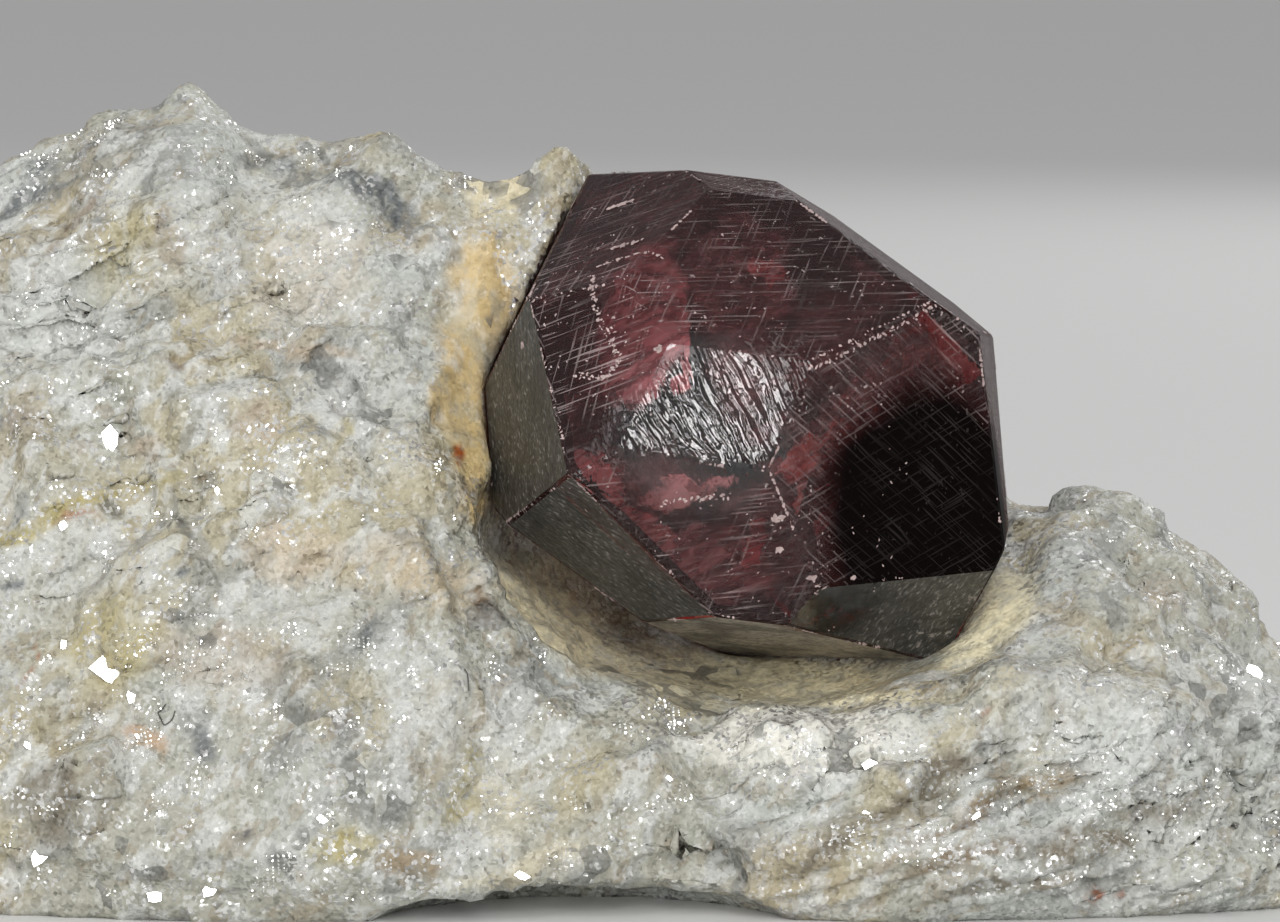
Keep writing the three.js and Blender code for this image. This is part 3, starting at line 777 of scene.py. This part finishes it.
# Veils of fine cracks just behind the front faces. Each is a thin sheet with the face's own outline, a
# little smaller. The pink and red glows where the light catches the cracks are painted into their colour
# and cover: painted reflections.
VEILED = [(2, 1, -1), (1, 2, -1), (1, 1, -2), (1, 2, 1), (1, 1, 0), (2, 1, 1)]
VEIL_DEPTH = 0.16
VEIL_THICKNESS = 0.01
corners = []
faces = []
for face in crystal.data.polygons:
    outward = [facing(*indices) for indices in VEILED]
    if face.material_index == 1 or max(face.normal.dot(way) for way in outward) < 0.995:
        continue
    rim = [crystal.data.vertices[index].co / MM for index in face.vertices]
    outer = [place + (CRYSTAL_MIDDLE - place) * 0.05 - face.normal * VEIL_DEPTH for place in rim]
    first = len(corners)
    count = len(rim)
    corners += [place * MM for place in outer]
    corners += [(place - face.normal * VEIL_THICKNESS) * MM for place in outer]
    faces.append(tuple(range(first, first + count)))
    faces.append(tuple(range(first + 2 * count - 1, first + count - 1, -1)))
    for index in range(count):
        after = (index + 1) % count
        faces.append((first + after, first + index, first + count + index, first + count + after))
veil_mesh = bpy.data.meshes.new("inner_veils")
veil_mesh.from_pydata(corners, [], faces)
veils = bpy.data.objects.new("inner_veils", veil_mesh)
bpy.context.scene.collection.objects.link(veils)

# Where the veils are painted glowing, as painted reflections of the light in the cracks: middle, half
# sizes, turn in degrees, colour and strength.
PAINTED_CRACK_GLOWS = [
    ((1.9, -3.4, 11.8), (1.1, 3, 1.4), 0, (0.7, 0.4, 0.36, 1), 0.35),
    ((0.05, -4.2, 11.1), (0.8, 3, 1.6), -14, (1, 0.6, 0.62, 1), 0.9),
    ((0.75, -4.4, 10.9), (0.13, 3, 1.2), 5, (1, 0.5, 0.52, 1), 1),
    ((2.5, -3.3, 11.95), (0.42, 3, 0.28), -5, (1, 0.3, 0.28, 1), 1),
    ((3.2, -4.7, 8.7), (0.85, 3, 0.4), 28, (1, 0.26, 0.18, 1), 0.95),
    ((-0.8, -5.1, 8.35), (0.55, 3, 0.3), -35, (1, 0.5, 0.48, 1), 1),
    ((0.1, -5, 7.3), (1.5, 3, 0.26), -48, (1, 0.5, 0.46, 1), 0.75),
    ((1.4, -4.8, 6.5), (1.3, 3, 0.8), 0, (0.9, 0.5, 0.5, 1), 0.5),
    ((4.4, -4, 9.9), (1.6, 3, 0.35), 32, (0.8, 0.2, 0.14, 1), 0.45),
    ((0.95, -5.2, 8.1), (0.85, 3, 0.3), 14, (1, 0.86, 0.82, 1), 1),
    ((1.3, -4.6, 6.8), (0.6, 3, 0.3), 12, (0.95, 0.66, 0.64, 1), 0.8),
    ((2.9, -4.8, 8.1), (0.5, 3, 0.14), 62, (1, 0.4, 0.3, 1), 0.9),
    ((3.9, -4.3, 9), (0.16, 3, 0.8), -55, (1, 0.35, 0.3, 1), 0.8),
    ((2.2, -4.8, 6.9), (0.2, 3, 0.5), -20, (1, 0.2, 0.22, 1), 0.9),
    ((3.4, -4.5, 7.3), (0.14, 3, 0.5), -35, (1, 0.2, 0.2, 1), 0.7),
]
veil_material, tree, shader = new_material("crack_veil_with_painted_glow")
place = mm_place(tree)
ragged = wavy(tree, place, 1.7, 0.9)
colour = (0.62, 0.34, 0.33, 1)
base_clouds = step_mask(tree, noise_field(tree, place, 0.6, detail=1, shift=4), 0.4, 0.62)
right_away = add_node(tree, "ShaderNodeVectorMath", {0: place, 1: (5.6, -3.2, 7.6)}, operation="DISTANCE")
base = multiply(tree, multiply(tree, base_clouds, 0.22),
                step_mask(tree, right_away.outputs["Value"], 2, 3.4))
for middle, size, turn, painted_glow, strength in PAINTED_CRACK_GLOWS:
    local = add_node(tree, "ShaderNodeMapping", {
        "Vector": ragged, "Location": middle, "Rotation": (0, -math.radians(turn), 0), "Scale": size,
    }, vector_type="TEXTURE")
    away = add_node(tree, "ShaderNodeVectorMath", {0: local.outputs[0]}, operation="LENGTH")
    mask = multiply(tree, step_mask(tree, away.outputs["Value"], 1.15, 0.8), strength)
    # Each spot paints its glowing colour over the veil: a painted reflection.
    colour = mix_colour(tree, mask, 1, colour, painted_glow)
    base = add_node(tree, "ShaderNodeMath", {0: base, 1: mask}, operation="MAXIMUM").outputs[0]
shards = noise_field(tree, ragged, 1.8, detail=3, shift=9, stretch=(2, 1, 0.8), turn=(0, -0.6, 0))
colour = mix_colour(tree, step_mask(tree, shards, 0.46, 0.58), 0.7, colour, (0.3, 0.03, 0.04, 1))
hairlines = noise_field(tree, place, 9, detail=1, shift=17, stretch=(9, 1, 1), turn=(0, -0.35, 0))
colour = mix_colour(tree, step_mask(tree, hairlines, 0.54, 0.6), 0.7, colour, (1, 0.78, 0.77, 1))
grain = add_node(tree, "ShaderNodeMapRange", {
    "Value": noise_field(tree, place, 4, stretch=(4, 1, 1), turn=(0, -0.5, 0)),
    "From Min": 0.35, "From Max": 0.62, "To Min": 0.3, "To Max": 1,
})
tree.links.new(multiply(tree, base, grain.outputs["Result"]), shader.inputs["Alpha"])
tree.links.new(colour, shader.inputs["Base Color"])
shader.inputs["Roughness"].default_value = 0.4
veils.data.materials.append(veil_material)
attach(veils, "root")


def add_flakes(name, flakes, material):
    """Thin six-sided plates. Each has a middle, normal, size, stretch and turn, in millimetres."""
    corners = []
    faces = []
    for middle, normal, size, stretch, turn in flakes:
        along = normal.orthogonal().normalized()
        along.rotate(Matrix.Rotation(turn, 3, normal))
        across = normal.cross(along)
        first = len(corners)
        for side in (0.5, -0.5):
            for step in range(6):
                angle = math.radians(60 * step)
                reach = size * (1 + 0.3 * math.sin(step * 2.3 + turn * 5))
                corner = along * math.cos(angle) * stretch + across * math.sin(angle)
                corners.append((middle + corner * reach + normal * side * size * 0.12) * MM)
        faces.append(tuple(first + step for step in range(6)))
        faces.append(tuple(first + 11 - step for step in range(6)))
        for step in range(6):
            after = (step + 1) % 6
            faces.append((first + after, first + step, first + 6 + step, first + 6 + after))
    mesh = bpy.data.meshes.new(name)
    mesh.from_pydata(corners, [], faces)
    mesh.materials.append(material)
    piece = bpy.data.objects.new(name, mesh)
    bpy.context.scene.collection.objects.link(piece)
    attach(piece, "root")
    return piece


# White chips on the crystal: bruises where it was knocked, rows along the open cracks and the worn
# edges, and loose specks all over its front. They are thin flakes of garnet that still hold on.
random.seed(7)
LOOSE_CHIPS = 420
CHIP_LIFT = 0.012
# Each bruise has its middle, its size in millimetres and how long it is for its height.
CHIP_SPOTS = [((-0.39, -1.1, 13.26), 0.16, 2.2), ((-0.29, -2.62, 12.56), 0.15, 2.6),
              ((0.34, -4.77, 10.7), 0.07, 1), ((-2.27, -2.92, 10.64), 0.1, 1.3),
              ((2.63, -4.93, 7.5), 0.09, 1.2), ((3.29, -4.59, 6.3), 0.07, 1),
              ((2.67, -4.76, 6.87), 0.05, 1.4), ((4.08, -4.12, 6.24), 0.05, 1)]
CHIP_ROWS = [
    [(-0.93, -3.21, 12.02), (-0.77, -4.01, 11.21), (-0.38, -4.56, 10.49), (-0.65, -4.63, 10.15),
     (-1.24, -4.35, 10.19)],
    [(3.2, -4.55, 10.35), (4.4, -3.75, 10.85), (5.75, -2.95, 11.45)],
    [(-0.8, -3, 12.2), (-0.1, -3.1, 12.45), (0.5, -3.3, 12.4)],
    [(0.4, -5.1, 7.8), (1.1, -5.1, 7.9), (1.7, -5.1, 7.95)],
]
chips = []
for middle, size, stretch in CHIP_SPOTS:
    for _ in range(int(size * 150)):
        angle = random.uniform(0, 6.28)
        reach = size * random.random()**0.7
        offset = Vector((math.cos(angle) * reach * stretch, 0, math.sin(angle) * reach * 0.6))
        chips.append((Vector(middle) + offset, random.uniform(0.015, 0.05), random.uniform(1, 1.8)))
for row in CHIP_ROWS:
    for start, end in zip(row, row[1:]):
        start = Vector(start)
        end = Vector(end)
        steps = int((end - start).length / 0.035)
        for step in range(steps):
            jitter = Vector((random.uniform(-1, 1), 0, random.uniform(-1, 1))) * 0.06
            chips.append((start.lerp(end, step / steps) + jitter, random.uniform(0.008, 0.032), 1.5))
for face in crystal.data.polygons:
    if face.material_index != 1 or face.center.y > 0:
        continue
    rim = [crystal.data.vertices[index].co / MM for index in face.vertices]
    ends = max(((a, b) for a in rim for b in rim), key=lambda pair: (pair[0] - pair[1]).length)
    for step in range(int((ends[0] - ends[1]).length / 0.04)):
        middle = ends[0].lerp(ends[1], random.random())
        if noise.noise(middle * 1.3) > 0.2:
            chips.append((middle, random.uniform(0.008, 0.03), random.uniform(1, 2)))
for _ in range(LOOSE_CHIPS):
    outward = Vector((random.uniform(-1, 0.8), -1, random.uniform(-1, 1)))
    middle = CRYSTAL_MIDDLE + outward * 5.5
    if noise.noise(middle * 0.9 + Vector((3, 3, 3))) > -0.05:
        chips.append((middle, random.uniform(0.006, 0.018), random.uniform(1, 2.5)))
chip_flakes = []
for middle, size, stretch in chips:
    on_face, face_normal, _, _ = crystal_tree.find_nearest(middle * MM)
    lean = Vector((random.uniform(-0.2, 0.2), random.uniform(-0.2, 0.2), random.uniform(-0.2, 0.2)))
    chip_flakes.append((on_face / MM + face_normal * CHIP_LIFT, (face_normal + lean).normalized(), size,
                        stretch, random.uniform(0, 6.28)))
chip_material, tree, shader = new_material("white_chip")
clouds = noise_field(tree, mm_place(tree), 6)
shade = mix_colour(tree, clouds, 1, (0.16, 0.1, 0.1, 1), (0.7, 0.56, 0.53, 1))
tree.links.new(shade, shader.inputs["Base Color"])
shader.inputs["Roughness"].default_value = 0.3
add_flakes("white_chips", chip_flakes, chip_material)

# Mica on the rock: small bright flakes in clusters, most of them turned so that they glitter from
# the front, and the few large ones that flash there.
to_camera = camera.location / MM
to_key = CRYSTAL_MIDDLE + Vector(TOWARD_KEY).normalized() * KEY_DISTANCE


def glitter_normal(middle, spread):
    """The normal that throws the key light at the camera, with a random lean of the given size."""
    half = (to_camera - middle).normalized() + (to_key - middle).normalized()
    lean = Vector((random.gauss(0, spread), random.gauss(0, spread), random.gauss(0, spread)))
    return (half.normalized() + lean).normalized()


rock_tree = bvhtree.BVHTree.FromPolygons(
    [vertex.co for vertex in rock.data.vertices], [tuple(face.vertices) for face in rock.data.polygons],
)
FLAKE_TRIES = 70000
FLAKE_LIFT = 0.012
# The large flakes: where each lies, before it is moved onto the rock, and its size.
FLASHES = [
    ((-10.19, -3.56, 8.93), 0.19), ((-9.89, -5.39, 4.74), 0.33), ((-9.6, -5.7, 4.2), 0.12),
    ((-11, -5.2, 5.1), 0.07), ((-11.1, -4.5, 7.3), 0.08), ((-11.4, -7, 0.6), 0.16),
    ((-9.1, -7.2, 0.5), 0.13), ((-8.1, -7.2, 0.5), 0.12), ((4.62, -6.31, 2.68), 0.16),
    ((12.4, -0.98, 4.09), 0.18), ((12.3, -2, 2.6), 0.12), ((12.45, -2.6, 1.9), 0.1),
    ((-8.1, -4.2, 7.9), 0.06), ((-2.1, -7.1, 1), 0.09), ((1, -6.6, 3), 0.05),
    ((6.4, -6.8, 1.9), 0.08), ((-5.9, -6.9, 2.1), 0.09), ((-11.6, -6, 3.3), 0.07),
]
flakes = []
for middle, size in FLASHES:
    on_rock, rock_normal, _, _ = rock_tree.find_nearest(Vector(middle) * MM)
    middle = on_rock / MM + rock_normal * 0.03
    stretch = random.uniform(1, 1.4)
    flakes.append((middle, glitter_normal(middle, 0.01), size, stretch, random.uniform(0, 6)))
front = [face for face in rock.data.polygons if face.center.z > 0.5 * MM]
for face in random.sample(front, FLAKE_TRIES):
    middle = face.center / MM
    crowded = noise.noise(middle * 1.6) + 0.5 * noise.noise(middle * 0.4 + Vector((5, 5, 5)))
    off_crystal = crystal_tree.find_nearest(face.center)[3] / MM
    if crowded < 0.4 or off_crystal < 1.4:
        continue
    lean = Vector((random.gauss(0, 0.3), random.gauss(0, 0.3), random.gauss(0, 0.3)))
    normal = (face.normal + lean).normalized()
    if face.normal.y < 0 and random.random() < 0.5:
        normal = glitter_normal(middle, 0.16)
    if normal.dot(face.normal) < 0.3:
        continue
    size = random.uniform(0.01, 0.026) * (1.8 if random.random() < 0.05 else 1)
    stretch = random.uniform(1, 1.5)
    flakes.append((middle + face.normal * FLAKE_LIFT, normal, size, stretch, random.uniform(0, 6)))
mica_material, tree, shader = new_material("silvery_mica")
clouds = noise_field(tree, mm_place(tree), 3)
shade = mix_colour(tree, clouds, 1, (0.75, 0.73, 0.66, 1), (0.95, 0.95, 0.93, 1))
tree.links.new(shade, shader.inputs["Base Color"])
shader.inputs["Metallic"].default_value = 0.7
shader.inputs["Roughness"].default_value = 0.12
add_flakes("mica_flakes", flakes, mica_material)

# Two dark fibres of lint lie on the rock: a hair in an open ring and a short straight one. Each is a
# thin round thread that follows the rock's surface.
RING_MIDDLE = Vector((-9.03, -6.25, 3.97))
RING_SIZE = 0.24
RING_POINTS = 15
FIBRE_RADIUS = 0.011
FIBRE_LIFT = 0.02
ring = []
for step in range(RING_POINTS):
    angle = math.radians(115 + step * 18)
    ring.append(RING_MIDDLE + Vector((math.cos(angle), 0.1, math.sin(angle))) * RING_SIZE)
straight = [Vector((-2.86, -6.1, 4.9)), Vector((-2.84, -6.15, 4.75)), Vector((-2.79, -6.2, 4.55))]
fibre_material, tree, shader = new_material("dark_fibre")
clouds = noise_field(tree, mm_place(tree), 4)
shade = mix_colour(tree, clouds, 1, (0.02, 0.02, 0.018, 1), (0.09, 0.08, 0.07, 1))
tree.links.new(shade, shader.inputs["Base Color"])
shader.inputs["Roughness"].default_value = 0.5
for name, points in (("curled_hair", ring), ("short_fibre", straight)):
    line = bpy.data.curves.new(name, "CURVE")
    line.dimensions = "3D"
    line.bevel_depth = FIBRE_RADIUS * MM
    line.bevel_resolution = 2
    line.use_fill_caps = True
    spline = line.splines.new("POLY")
    spline.points.add(len(points) - 1)
    for point, middle in zip(spline.points, points):
        on_rock, rock_normal, _, _ = rock_tree.find_nearest(middle * MM)
        point.co = (*(on_rock + rock_normal * FIBRE_LIFT * MM), 1)
    fibre = bpy.data.objects.new(name, line)
    bpy.context.scene.collection.objects.link(fibre)
    bpy.ops.object.select_all(action="DESELECT")
    fibre.select_set(True)
    bpy.context.view_layer.objects.active = fibre
    bpy.ops.object.convert(target="MESH")
    fibre.data.materials.append(fibre_material)
    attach(fibre, "root")
